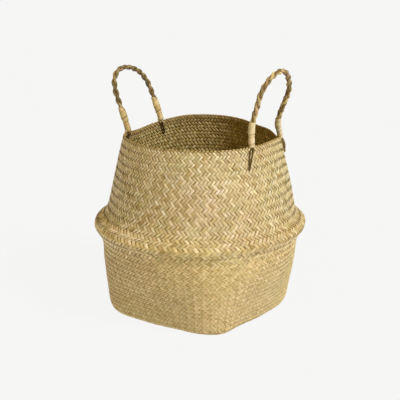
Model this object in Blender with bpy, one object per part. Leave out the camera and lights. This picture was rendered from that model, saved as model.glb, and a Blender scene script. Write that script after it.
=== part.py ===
# Belly basket, plaited from flat seagrass strips, with two plaited rope handles.
# Metres, +Z up. The origin is the centre of the flat base, on the floor.
# The handles stand near +X and -X, and the base's corners point between the axes.
import math
import bpy
import bmesh
from mathutils import Vector, Matrix

# ---------------------------------------------------------------- driving dimensions
SEG = 48                    # facets round every wall

STRIP_T = 0.0014            # thickness of one plaited wall, two strips deep
BASE_T = 0.0020             # thickness of the base mat
GAP = 0.0003                # gap between touching pieces
SLIDE_GAP = 0.0004          # radial clearance between bands that nest

BASE_TURN_Z = 0.014         # height where the base mat's turned-up edge ends
LOWER_TOP_Z = 0.130         # top of the lower wall, where the belly starts
CREASE_Z = 0.168            # foot of the upper wall, just above the belly
BAND_TOP_Z = 0.229          # the bands that turn in when the basket is pushed down
RIM_Z = 0.298               # height of the rim where it is neither raised nor lowered
# height of the rim every 15 degrees round from +X: it dips where the handles pull on it
RIM_HEIGHTS = (
    0.3054, 0.3035, 0.2955, 0.2895, 0.2940, 0.2955, 0.3008, 0.3036, 0.3044, 0.3040, 0.3003, 0.2958,
    0.2922, 0.2945, 0.2995, 0.3022, 0.3032, 0.3030, 0.3030, 0.3042, 0.3037, 0.3038, 0.3037, 0.3043,
)
RIM_H = 0.010               # height of the folded border
RIM_T = 0.0036              # thickness of the folded border

BELLY_R = 0.1752            # largest radius, at the belly's edge
CREASE_R = 0.1514           # outer radius at the foot of the upper wall
RIM_R = 0.1278              # outer radius at the rim

# lower wall: mean outer radius against height
LOWER_PROFILE = (
    (0.000, 0.1180), (0.004, 0.1235), (0.009, 0.1275), (0.016, 0.1308),
    (0.028, 0.1347), (0.044, 0.1390), (0.065, 0.1472), (0.088, 0.1537),
    (0.110, 0.1583), (0.130, 0.1614),
)
# belly: outer radius and height, from the lower wall round the edge to the crease
BELLY_PROFILE = (
    (0.1615, 0.1303), (0.1647, 0.1398), (0.1712, 0.1478), (BELLY_R, 0.1535),
    (0.1743, 0.1570), (0.1700, 0.1603), (0.1615, 0.1638), (0.1521, 0.1662),
)
BELLY_EDGE = 3              # the belly's underside ends and its shoulder starts at this point
# upper wall above the bands: outer radius against height
UPPER_PROFILE = (
    (0.2293, 0.1430), (0.2440, 0.1408), (0.2590, 0.1373), (0.2740, 0.1337), (0.2880, 0.1302),
)
# the base is a rounded square that turns into the round wall
SQUARE_2, SQUARE_4, SQUARE_8 = 0.040, 0.098, 0.012
SQUARE_AZ = 45.0            # direction of a corner, degrees
SQUARE_FADE_Z = 0.075       # how fast the corners fade with height

# handles: (sideways, height above the rim, outward lean), one point per row, front foot to back foot
COLLAR_L = 0.034            # length of each wound collar
COLLAR_R = 0.0050
COLLAR_FOOT_R = 0.0026
FOOT_LIFT = 0.0068          # the collar's foot, and the handle's axis, above the rim
BRAID_A, BRAID_B = 0.0034, 0.0026   # half width and half thickness of the plait's centre lines
STRAND_R = 0.00155
STRAND_GAP = 0.0011         # from a collar to the ends of the strands
BRAID_PITCH = 0.042
TIE_R = 0.0011              # radius of the cords that tie the feet to the wall
TIE_CLEAR = 0.0019          # clearance round a tie where it goes through the wall
TIE_DROP = 0.034            # how far below the rim a tie goes through the wall
FOOT_R = 0.1268             # radius at which the feet stand on the rim

LEFT_AZ = 178.4
LEFT_BOW = (
    (-0.0455, 0.0000, 0.0000), (-0.0462, 0.0120, 0.0055), (-0.0466, 0.0259, 0.0115), (-0.0456, 0.0438, 0.0188),
    (-0.0388, 0.0625, 0.0234), (-0.0242, 0.0785, 0.0254), (-0.0037, 0.0892, 0.0260), (0.0170, 0.0936, 0.0262),
    (0.0351, 0.0911, 0.0259), (0.0453, 0.0783, 0.0257), (0.0477, 0.0594, 0.0217), (0.0478, 0.0375, 0.0131),
    (0.0468, 0.0173, 0.0052), (0.0455, 0.0000, 0.0000),
)
RIGHT_AZ = 6.4
RIGHT_BOW = (
    (-0.0564, 0.0000, 0.0000), (-0.0576, 0.0119, 0.0000), (-0.0579, 0.0307, 0.0012), (-0.0563, 0.0558, 0.0071),
    (-0.0523, 0.0818, 0.0133), (-0.0394, 0.1013, 0.0211), (-0.0210, 0.1102, 0.0267), (-0.0017, 0.1087, 0.0300),
    (0.0139, 0.0975, 0.0294), (0.0264, 0.0798, 0.0265), (0.0340, 0.0611, 0.0183), (0.0392, 0.0396, 0.0078),
    (0.0458, 0.0198, 0.0008), (0.0564, 0.0000, 0.0000),
)


# ---------------------------------------------------------------- helpers
def clear_scene():
    for ob in list(bpy.data.objects):
        bpy.data.objects.remove(ob, do_unlink=True)


def material(name, colour, rough, metallic=0.0):
    mat = bpy.data.materials.new(name)
    mat.use_nodes = True
    p = mat.node_tree.nodes["Principled BSDF"]
    p.inputs["Base Color"].default_value = (*colour, 1.0)
    p.inputs["Roughness"].default_value = rough
    p.inputs["Metallic"].default_value = metallic
    mat.diffuse_color = (*colour, 1.0)
    return mat


def smooth(a, b, x):
    t = min(max((x - a) / (b - a), 0.0), 1.0)
    return t * t * (3 - 2 * t)


def squareness(az, z):
    """How far the outline stands out from a circle at this azimuth and height."""
    w = math.exp(-(max(z, 0.0) / SQUARE_FADE_Z) ** 2) * (1 - smooth(0.095, 0.128, z))
    a = az - math.radians(SQUARE_AZ)
    return 1 + w * (SQUARE_2 * math.cos(2 * a) + SQUARE_4 * math.cos(4 * a) + SQUARE_8 * math.cos(8 * a))


def rim_dip(az, z):
    """How far the uneven rim raises or lowers the wall: all of it at the rim, none of it at the bands."""
    n = len(RIM_HEIGHTS)
    x = (az / (2 * math.pi) * n) % n
    i = int(x)
    t = x - i
    a, b, c, d = (RIM_HEIGHTS[(i + k) % n] for k in (-1, 0, 1, 2))
    level = 0.5 * (2 * b + (c - a) * t + (2 * a - 5 * b + 4 * c - d) * t * t + (3 * b - a - 3 * c + d) * t ** 3)
    return smooth(0.240, 0.288, z) * (level - RIM_Z)


def offset_section(outer, thickness):
    """A closed cross-section: the outer line, and the same line moved in by the thickness."""
    pts = [Vector(p) for p in outer]
    inner = []
    for i, p in enumerate(pts):
        a = pts[max(i - 1, 0)]
        b = pts[min(i + 1, len(pts) - 1)]
        d = (b - a).normalized()
        n = Vector((-d.y, d.x))          # to the left of the line as it climbs: inwards
        inner.append(p + n * thickness)
    return pts + inner[::-1]


def add_ring(bm, r, z, shaped):
    ring = []
    for i in range(SEG):
        az = 2 * math.pi * i / SEG
        rr = r * (squareness(az, z) if shaped else 1.0)
        ring.append(bm.verts.new((rr * math.cos(az), rr * math.sin(az), z + rim_dip(az, z))))
    return ring


def turned(name, section, mat, parent=None, shaped=True, closed=True, sharp=35):
    """Turns a cross-section, given as (radius, height) points, round the Z axis."""
    bm = bmesh.new()
    rings = [add_ring(bm, p[0], p[1], shaped) for p in section]
    pairs = list(zip(rings, rings[1:]))
    if closed:
        pairs.append((rings[-1], rings[0]))
    for a, b in pairs:
        for i in range(SEG):
            j = (i + 1) % SEG
            bm.faces.new((a[i], a[j], b[j], b[i]))
    if not closed:
        bm.faces.new(rings[0][::-1])
        bm.faces.new(rings[-1])
    bmesh.ops.recalc_face_normals(bm, faces=bm.faces)
    return finish(name, bm, mat, parent, sharp)


def finish(name, bm, mat, parent=None, sharp=35):
    me = bpy.data.meshes.new(name)
    if parent is not None:
        bmesh.ops.translate(bm, verts=bm.verts, vec=-parent.location)
    bm.to_mesh(me)
    bm.free()
    me.materials.append(mat)
    me.shade_smooth()
    me.set_sharp_from_angle(angle=math.radians(sharp))
    ob = bpy.data.objects.new(name, me)
    bpy.context.scene.collection.objects.link(ob)
    if parent is not None:
        ob.parent = parent
    return ob


def empty(name, location, parent=None):
    ob = bpy.data.objects.new(name, None)
    ob.empty_display_size = 0.03
    bpy.context.scene.collection.objects.link(ob)
    ob.location = location
    if parent is not None:
        ob.parent = parent
        ob.location = Vector(location) - parent.location
    return ob


def tube(name, points, radii, mat, origin, parent, cyclic=False, resolution=2):
    """A curve with a round bevel along the points, its radius given at each one."""
    cu = bpy.data.curves.new(name, "CURVE")
    cu.dimensions = "3D"
    cu.bevel_depth = 1.0
    cu.bevel_resolution = resolution
    cu.use_fill_caps = not cyclic
    sp = cu.splines.new("POLY")
    sp.points.add(len(points) - 1)
    for i, (p, r) in enumerate(zip(points, radii)):
        q = p - origin
        sp.points[i].co = (q.x, q.y, q.z, 1.0)
        sp.points[i].radius = r
    sp.use_cyclic_u = cyclic
    sp.use_smooth = True
    cu.materials.append(mat)
    ob = bpy.data.objects.new(name, cu)
    bpy.context.scene.collection.objects.link(ob)
    ob.parent = parent
    return ob


def spline(points, n=16):
    """A Catmull-Rom curve through the points."""
    p = [2 * points[0] - points[1]] + points + [2 * points[-1] - points[-2]]
    out = []
    for i in range(1, len(p) - 2):
        for k in range(n):
            t = k / n
            out.append(0.5 * ((2 * p[i]) + (p[i + 1] - p[i - 1]) * t
                              + (2 * p[i - 1] - 5 * p[i] + 4 * p[i + 1] - p[i + 2]) * t * t
                              + (3 * p[i] - p[i - 1] - 3 * p[i + 1] + p[i + 2]) * t ** 3))
    out.append(points[-1].copy())
    return out


def lengths(points):
    out = [0.0]
    for a, b in zip(points, points[1:]):
        out.append(out[-1] + (b - a).length)
    return out


def at_length(points, run, s):
    for i in range(1, len(run)):
        if s <= run[i] or i == len(run) - 1:
            t = (s - run[i - 1]) / (run[i] - run[i - 1])
            return points[i - 1].lerp(points[i], t), (points[i] - points[i - 1]).normalized()


# ---------------------------------------------------------------- materials
clear_scene()
STRAW = material("seagrass", (0.60, 0.47, 0.22), 0.62)
STRAW_LOW = material("seagrass_lower", (0.55, 0.42, 0.19), 0.64)
STRAW_BASE = material("seagrass_base", (0.50, 0.38, 0.17), 0.66)
STRAW_BAND = material("seagrass_band", (0.58, 0.45, 0.21), 0.62)
BORDER = material("border_straw", (0.62, 0.49, 0.25), 0.60)
ROPE = material("rope_seagrass", (0.42, 0.32, 0.12), 0.66)
WRAP = material("collar_straw", (0.74, 0.60, 0.33), 0.55)
CORD = material("tie_cord", (0.16, 0.11, 0.06), 0.75)

# ---------------------------------------------------------------- walls that stand still
base_outer = [p for p in LOWER_PROFILE if p[0] < BASE_TURN_Z - 0.002] + [(BASE_TURN_Z, 0.1298)]
outer = [(r, z) for z, r in base_outer]
bottom = [(0.020, 0.0)] + outer
top = []
for i, (r, z) in enumerate(outer):
    a = Vector(outer[max(i - 1, 0)])
    b = Vector(outer[min(i + 1, len(outer) - 1)])
    d = (b - a).normalized()
    top.append((r - d.y * BASE_T, max(z + d.x * BASE_T, BASE_T)))
turned("woven_base", bottom + top[::-1] + [(0.020, BASE_T)], STRAW_BASE, closed=False)

lower = [(0.13, BASE_TURN_Z)]
wall = [(0.1300, BASE_TURN_Z + GAP)] + [(r, z) for z, r in LOWER_PROFILE if z > BASE_TURN_Z + 0.001]
wall[-1] = (wall[-1][0], LOWER_TOP_Z)
turned("lower_wall", offset_section(wall, STRIP_T), STRAW_LOW)

under = list(BELLY_PROFILE[:BELLY_EDGE + 1])
shoulder = [(BELLY_R + 0.0001, under[-1][1] + GAP)] + list(BELLY_PROFILE[BELLY_EDGE + 1:])
under_section = offset_section(under, STRIP_T)
shoulder_section = offset_section(shoulder, STRIP_T)
# both are cut level where they meet at the belly's edge
under_section[len(under)] = Vector((BELLY_R - STRIP_T, under[-1][1]))
shoulder_section[-1] = Vector((BELLY_R - STRIP_T, under[-1][1] + GAP))
turned("belly_underside", under_section, STRAW_LOW, shaped=False)
turned("belly_shoulder", shoulder_section, STRAW, shaped=False)

# ---------------------------------------------------------------- bands that turn in below the upper wall
fold_axis = empty("upper_wall_slide", (0, 0, BAND_TOP_Z))
BAND_H = (BAND_TOP_Z - CREASE_Z) / 3
BAND_TAPER = (0.0008, 0.0008, 0.0014)
r = CREASE_R
for k, label in enumerate(("lower", "middle", "upper")):
    z0 = CREASE_Z + k * BAND_H + GAP
    z1 = CREASE_Z + (k + 1) * BAND_H
    axis = empty("band_%s_slide" % label, (0, 0, z0))
    r1 = r - BAND_TAPER[k]
    sec = [(r, z0), (r1, z1)]
    sec += [(a - STRIP_T, b) for a, b in sec[::-1]]
    turned("fold_band_" + label, sec, STRAW_BAND, axis, shaped=False)
    r = r1 - STRIP_T - SLIDE_GAP

# ---------------------------------------------------------------- upper wall and rim
upper = [(r, z) for z, r in UPPER_PROFILE]
upper_ob = turned("upper_wall", offset_section(upper, STRIP_T), STRAW, fold_axis, shaped=False)


def wall_radius(z, az=None):
    """Outer radius of the upper wall at a height; the rim's dip lowers the wall with it."""
    if az is not None:
        z -= rim_dip(az, z)
    for (z0, r0), (z1, r1) in zip(UPPER_PROFILE, UPPER_PROFILE[1:]):
        if z <= z1:
            return r0 + (r1 - r0) * (z - z0) / (z1 - z0)
    return r1


mid = (RIM_R + wall_radius(0.288)) / 2 - STRIP_T / 2
rim_low = RIM_Z - RIM_H
h = RIM_T / 2
lean = wall_radius(0.288) - RIM_R
rim_section = []
for a, b in ((h, GAP), (h * 1.05, 0.0035), (h * 0.95, 0.0075), (h * 0.45, RIM_H), (-h * 0.45, RIM_H),
             (-h * 0.95, 0.0075), (-h * 1.05, 0.0035), (-h, GAP)):
    rim_section.append((mid + lean * (0.5 - b / RIM_H) + a, rim_low + b))
turned("rim_border", rim_section, BORDER, fold_axis, shaped=False, sharp=60)


# ---------------------------------------------------------------- handles, collars and ties
def rim_top(az):
    return RIM_Z + rim_dip(az, RIM_Z)


def handle(side, azimuth, bow):
    az = math.radians(azimuth)
    out = Vector((math.cos(az), math.sin(az), 0))
    along = Vector((-math.sin(az), math.cos(az), 0))
    half = abs(bow[0][0])
    chord = math.sqrt(FOOT_R ** 2 - half ** 2)
    feet = []
    for s in (bow[0][0], bow[-1][0]):
        p = out * chord + along * s
        a = math.atan2(p.y, p.x)
        feet.append((p + Vector((0, 0, rim_top(a) + FOOT_LIFT)), a))
    mid_foot = (feet[0][0] + feet[1][0]) / 2
    pivot = empty(side + "_handle_axis", mid_foot, fold_axis)
    pivot_world = mid_foot
    # the bow, from the feet up
    pts = []
    for i, (s, hh, o) in enumerate(bow):
        u = i / (len(bow) - 1)
        z0 = feet[0][0].z * (1 - u) + feet[1][0].z * u
        pts.append(out * (chord + o) + along * s + Vector((0, 0, z0 + hh)))
    line = spline(pts)
    run = lengths(line)
    total = run[-1]
    # wound collars on both legs, tapering to the foot
    for label, end in (("front", 0), ("back", 1)):
        if side == "left":
            label = "back" if end == 0 else "front"
        ps, rs = [], []
        for k in range(9):
            d = COLLAR_L * k / 8
            s = d if end == 0 else total - d
            p, _ = at_length(line, run, s)
            t = d / COLLAR_L
            ps.append(p)
            rs.append(COLLAR_FOOT_R + (COLLAR_R - COLLAR_FOOT_R) * smooth(0, 0.55, t) - 0.0006 * smooth(0.85, 1.0, t))
        tube("%s_%s_collar" % (side, label), ps, rs, WRAP, pivot_world, pivot, resolution=3)
    # three strands plaited together between the collars
    s0, s1 = COLLAR_L + STRAND_GAP, total - COLLAR_L - STRAND_GAP
    n = int((s1 - s0) / 0.0032)
    turns = round((s1 - s0) / BRAID_PITCH)
    normal = (out * 0.97 - Vector((0, 0, 1)) * 0.24).normalized()
    for k, letter in enumerate("abc"):
        ps = []
        for i in range(n + 1):
            u = i / n
            s = s0 + (s1 - s0) * u
            p, d = at_length(line, run, s)
            side_v = d.cross(normal).normalized()
            up_v = side_v.cross(d).normalized()
            f = 2 * math.pi * (turns * u + k / 3 + 0.09)
            ps.append(p + side_v * (BRAID_A * math.sin(f)) + up_v * (BRAID_B * math.sin(2 * f)))
        tube("%s_handle_strand_%s" % (side, letter), ps, [STRAND_R] * len(ps), ROPE, pivot_world, pivot, resolution=1)
    # ties: a closed loop of cord over the rim and through the wall
    for label, (foot, a) in zip(("front", "back"), feet if side == "right" else feet[::-1]):
        radial = Vector((math.cos(a), math.sin(a), 0))
        zt = rim_top(a)
        zb = zt - TIE_DROP
        c = TIE_R + 0.0009

        def outside(z):
            return wall_radius(z, a) + c

        def inside(z):
            return wall_radius(z, a) - STRIP_T - c

        top_r = mid - lean / 2
        side_r = mid + lean * 0.3
        route = [(inside(zb + 0.005), zb + 0.005), (inside(zb) + 0.0009, zb + 0.0012), (wall_radius(zb, a) - STRIP_T / 2, zb),
                 (outside(zb) - 0.0009, zb + 0.0012), (outside(zb + 0.005), zb + 0.005),
                 (outside(zt - 0.019) + 0.0006, zt - 0.019), (side_r + h + c + 0.0003, zt - 0.008),
                 (top_r + h + c + 0.0002, zt - 0.0022), (top_r + h + c - 0.0014, zt + c - 0.0006), (top_r, zt + c + 0.0001),
                 (top_r - h - c + 0.0014, zt + c - 0.0006), (top_r - h - c - 0.0002, zt - 0.0022),
                 (side_r - h - c - 0.0003, zt - 0.008), (inside(zt - 0.019) - 0.0006, zt - 0.019)]
        ps = [radial * rr + Vector((0, 0, zz)) for rr, zz in route]
        tube("%s_%s_tie" % (side, label), ps, [TIE_R] * len(ps), CORD, Vector(fold_axis.location), fold_axis, cyclic=True, resolution=1)
        # the hole that the tie goes through
        cutter = bpy.data.meshes.new("tie_hole")
        bm = bmesh.new()
        bmesh.ops.create_cone(bm, cap_ends=True, segments=12, radius1=TIE_R + TIE_CLEAR, radius2=TIE_R + TIE_CLEAR, depth=0.016)
        rot = Vector((0, 0, 1)).rotation_difference(radial).to_matrix().to_4x4()
        bm.transform(Matrix.Translation(radial * (wall_radius(zb, a) - STRIP_T / 2) + Vector((0, 0, zb + 0.0008)) - fold_axis.location) @ rot)
        bm.to_mesh(cutter)
        bm.free()
        cob = bpy.data.objects.new("tie_hole_%s_%s" % (side, label), cutter)
        bpy.context.scene.collection.objects.link(cob)
        cob.parent = fold_axis
        cob.hide_render = True
        cob.display_type = "WIRE"
        mod = upper_ob.modifiers.new("tie_hole_" + label, "BOOLEAN")
        mod.operation = "DIFFERENCE"
        mod.solver = "EXACT"
        mod.object = cob
    return pivot_world, feet


handle("left", LEFT_AZ, LEFT_BOW)
handle("right", RIGHT_AZ, RIGHT_BOW)
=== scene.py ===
# Looks of the belly basket. Every flat strip of the plait is a ribbon of its own, over and under its neighbours.
# The handles are plaited from bundles of twisted blades, with wound collars and dark tie cords.
import math

import bpy
import numpy as np
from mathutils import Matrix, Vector


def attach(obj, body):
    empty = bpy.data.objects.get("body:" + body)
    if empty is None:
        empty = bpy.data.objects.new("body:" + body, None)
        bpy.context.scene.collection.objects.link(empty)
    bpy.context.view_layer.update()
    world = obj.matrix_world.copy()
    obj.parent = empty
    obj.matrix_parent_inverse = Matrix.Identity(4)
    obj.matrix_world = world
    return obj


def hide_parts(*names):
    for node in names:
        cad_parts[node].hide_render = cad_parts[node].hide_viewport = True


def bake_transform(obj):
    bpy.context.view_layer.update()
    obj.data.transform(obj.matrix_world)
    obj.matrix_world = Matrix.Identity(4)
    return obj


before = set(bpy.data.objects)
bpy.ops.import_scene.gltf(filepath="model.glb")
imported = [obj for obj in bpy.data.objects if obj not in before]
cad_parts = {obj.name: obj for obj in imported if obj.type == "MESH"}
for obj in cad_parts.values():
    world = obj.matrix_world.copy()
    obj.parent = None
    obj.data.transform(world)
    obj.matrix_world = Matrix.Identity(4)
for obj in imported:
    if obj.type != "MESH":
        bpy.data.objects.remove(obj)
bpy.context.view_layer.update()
RNG = np.random.default_rng(11)
PI2 = 2 * math.pi

# ------------------------------------------------------------------ measures, in metres
SIDE = 34                   # strips in each direction on each side of the base
N = 4 * SIDE
DU = PI2 / N
FILL = 0.93                 # a strip's width, as a share of the space it has
STRIP_T = 0.00060           # thickness of one strip
CREST = 0.00066             # how far a strip stands off the wall's middle where it crosses another
SQUARE_2, SQUARE_4, SQUARE_8 = 0.040, 0.090, 0.018
SQUARE_AZ = math.radians(42)
POINT_AZ = math.radians(-40)        # one corner of the base is pointed
SQUARE_FADE_Z = 0.075
RIM_Z = 0.298
# height of the rim every 15 degrees round from +X
RIM_HEIGHTS = np.array((
    0.3054, 0.3035, 0.2955, 0.2895, 0.2940, 0.2955, 0.3008, 0.3036, 0.3044, 0.3040, 0.3003, 0.2958,
    0.2922, 0.2945, 0.2995, 0.3022, 0.3032, 0.3030, 0.3030, 0.3042, 0.3037, 0.3038, 0.3037, 0.3043))
SWAY, SWAY_AZ = 0.0023, math.radians(33)    # the upper wall and the handles lean a little to this side,
LEANS = ((0.000, 0.030, 0.070, 0.120, 0.138, 0.149, 0.159, 0.175, 0.195, 0.214),      # and the lower wall to the other
         (-0.0027, -0.0024, -0.0012, -0.0013, -0.0028, -0.0022, 0.0, 0.0005, 0.0017, SWAY))
BELLY_LIFT, BELLY_LIFT_AZ = 0.0032, math.radians(-66)      # the belly's edge is a little higher on this side
BASE_R, BASE_Z = 0.1163, 0.0011     # outline of the flat of the base, middle of its weave
CREASE_Z, BAND_TOP_Z = 0.168, 0.229

# middle of the wall: radius and height, from the flat of the base to the rim
PROFILE = (
    (BASE_R, BASE_Z), (0.1175, 0.0012), (0.1207, 0.0020), (0.1240, 0.0038), (0.1269, 0.0070), (0.1295, 0.0115),
    (0.1319, 0.0180), (0.1350, 0.0290), (0.1394, 0.0440), (0.1433, 0.0550), (0.1470, 0.0655),
    (0.1505, 0.0770), (0.1535, 0.0880), (0.1562, 0.0990), (0.1585, 0.1100), (0.1603, 0.1200), (0.1620, 0.1300),
    (0.1654, 0.1384), (0.1687, 0.1425), (0.1716, 0.1463), (0.1735, 0.1501), (0.1743, 0.1535), (0.1736, 0.1566),
    (0.1716, 0.1591), (0.1687, 0.1614), (0.1654, 0.1640), (0.1621, 0.1669), (0.1591, 0.1704),
    (0.1566, 0.1748), (0.1545, 0.1801), (0.1527, 0.1866), (0.1511, 0.1940), (0.1495, 0.2020), (0.1479, 0.2100),
    (0.1461, 0.2180), (0.1437, 0.2290), (0.1412, 0.2400), (0.1386, 0.2510), (0.1360, 0.2620),
    (0.1330, 0.2740), (0.1300, 0.2860), (0.1281, 0.2935), (0.1273, 0.2970),
)


# ------------------------------------------------------------------ the basket's surface
def catmull(points, n):
    """A smooth curve through points, with n samples to each span."""
    p = np.array(points, float)
    p = np.vstack([2 * p[0] - p[1], p, 2 * p[-1] - p[-2]])
    t = (np.arange(n) / n)[:, None]
    out = []
    for i in range(1, len(p) - 2):
        out.append(0.5 * (2 * p[i] + (p[i + 1] - p[i - 1]) * t
                          + (2 * p[i - 1] - 5 * p[i] + 4 * p[i + 1] - p[i + 2]) * t ** 2
                          + (3 * p[i] - p[i - 1] - 3 * p[i + 1] + p[i + 2]) * t ** 3))
    out.append(p[-2][None])
    return np.vstack(out)


_curve = catmull(PROFILE, 24)
_arc = np.concatenate([[0], np.cumsum(np.hypot(*np.diff(_curve, axis=0).T))])
S_END = _arc[-1]


def at_arc(s):
    """Radius and height of the wall's middle at an arc length from the base's outline, straight on past both ends."""
    s = np.asarray(s, float)
    r = np.interp(s, _arc, _curve[:, 0])
    z = np.interp(s, _arc, _curve[:, 1])
    d0 = (_curve[1] - _curve[0]) / (_arc[1] - _arc[0])
    d1 = (_curve[-1] - _curve[-2]) / (_arc[-1] - _arc[-2])
    lo, hi = np.minimum(s, 0), np.maximum(s - S_END, 0)
    return r + lo * d0[0] + hi * d1[0], z + lo * d0[1] + hi * d1[1]


def smooth(a, b, x):
    t = np.clip((x - a) / (b - a), 0, 1)
    return t * t * (3 - 2 * t)


def squareness(az, z):
    w = np.exp(-(np.maximum(z, 0) / SQUARE_FADE_Z) ** 2) * (1 - smooth(0.095, 0.128, z))
    a = az - SQUARE_AZ
    corner = np.exp(-(((az - POINT_AZ + math.pi) % PI2 - math.pi) / math.radians(8)) ** 2) * np.exp(-(np.maximum(z, 0) / 0.014) ** 2)
    return 1 + w * (SQUARE_2 * np.cos(2 * a) + SQUARE_4 * np.cos(4 * a) + SQUARE_8 * np.cos(8 * a)) + 0.035 * corner


def rim_dip(az, z):
    """How far the uneven rim raises or lowers the wall: all of it at the rim, none of it at the fold."""
    n = len(RIM_HEIGHTS)
    x = (np.asarray(az, float) / PI2 * n) % n
    i = np.floor(x).astype(int)
    t = x - i
    a, b, c, d = (RIM_HEIGHTS[(i + k) % n] for k in (-1, 0, 1, 2))
    level = 0.5 * (2 * b + (c - a) * t + (2 * a - 5 * b + 4 * c - d) * t ** 2 + (3 * b - a - 3 * c + d) * t ** 3)
    return smooth(0.172, 0.294, z) * (level - RIM_Z)


# strips leave the base at equal steps along its outline, and stand at equal angles from the belly up
_az = SQUARE_AZ + np.linspace(0, PI2, 2881)
_rc = BASE_R * squareness(_az, BASE_Z)
_al = np.concatenate([[0], np.cumsum(np.hypot(np.diff(_rc * np.cos(_az)), np.diff(_rc * np.sin(_az))))])
_al *= N / _al[-1]


def even_azimuth(u):
    """Azimuth of a place u strips along the base's outline from a corner."""
    turns = np.floor(u / N)
    return np.interp(u - turns * N, _al, _az) + turns * PI2


def azimuth(u, z):
    nominal = SQUARE_AZ + u * DU
    g = 1 - smooth(0.0, 0.085, z)
    return nominal + g * (even_azimuth(u) - nominal)


def surface(u, s):
    """A point of the wall's middle, u strips round from a corner and s along the wall from the base."""
    r, z = at_arc(s)
    az = azimuth(u, z)
    rr = r * squareness(az, z)
    lean = np.interp(z, *LEANS)
    lift = BELLY_LIFT * np.exp(-((z - 0.149) / 0.017) ** 2) * smooth(0.1, 1.0, np.cos(az - BELLY_LIFT_AZ))
    return np.stack([rr * np.cos(az) + lean * math.cos(SWAY_AZ), rr * np.sin(az) + lean * math.sin(SWAY_AZ),
                     z + rim_dip(az, z) + lift], -1)


def climb(z):
    """How steeply the strips climb: the tangent of their angle."""
    return 0.985 - 0.325 * smooth(0.002, 0.022, z) * (1 - smooth(0.126, 0.142, z))


# arc length of each row of the weave: in each row every strip crosses one of the other direction
_s, _rows = 0.0, [0.0]
while _s < S_END + 0.02:
    for _ in range(8):
        _r, _z = at_arc(_s)
        _s += float(_r * DU / 2 * climb(_z)) / 8
    _rows.append(_s)
K_RIM = int(np.argmin([abs(v - S_END) for v in _rows]))
_rows = np.array(_rows) * (S_END / _rows[K_RIM])


def arc_of(k):
    k = np.asarray(k, float)
    i = np.arange(len(_rows))
    return np.interp(k, i, _rows) + np.minimum(k, 0) * (_rows[1] - _rows[0])


def row_at(z, after=0):
    """First row of the weave at or above a height, not before row after."""
    for k in range(after, len(_rows)):
        if at_arc(_rows[k])[1] >= z:
            return k
    return K_RIM


def state(k):
    """+1 in rows where the strips that climb to the right lie outside, -1 where they lie inside: over two, under two."""
    return np.where((np.asarray(k) - K_RIM) % 4 < 2, 1, -1)


# ------------------------------------------------------------------ ribbons into meshes
SECTION = np.array([(-1.0, 0.0), (-0.72, 0.94), (0.72, 0.94), (1.0, 0.0), (0.52, -0.94), (-0.52, -0.94)])
INNER_FACE_SHADE = np.array([(1, 1, 1)] * 4 + [(0.785, 0.785, 0.63)] * 2)     # the strips' inner faces are painted darker and browner: painted shade of the basket's inside
DULL = np.array([0, 0, 0, 0, 0.5, 0.5])


def drift(n, m, size, step):
    """n rows of m values that wander about zero, with a new value every step samples."""
    knots = int(m / step) + 3
    v = RNG.normal(0, size, (n, knots))
    x = np.arange(m) / step
    i = x.astype(int)
    t = x - i
    t = t * t * (3 - 2 * t)
    return v[:, i] * (1 - t) + v[:, i + 1] * t


def unit(v):
    return v / np.maximum(np.linalg.norm(v, axis=-1, keepdims=True), 1e-12)


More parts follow.
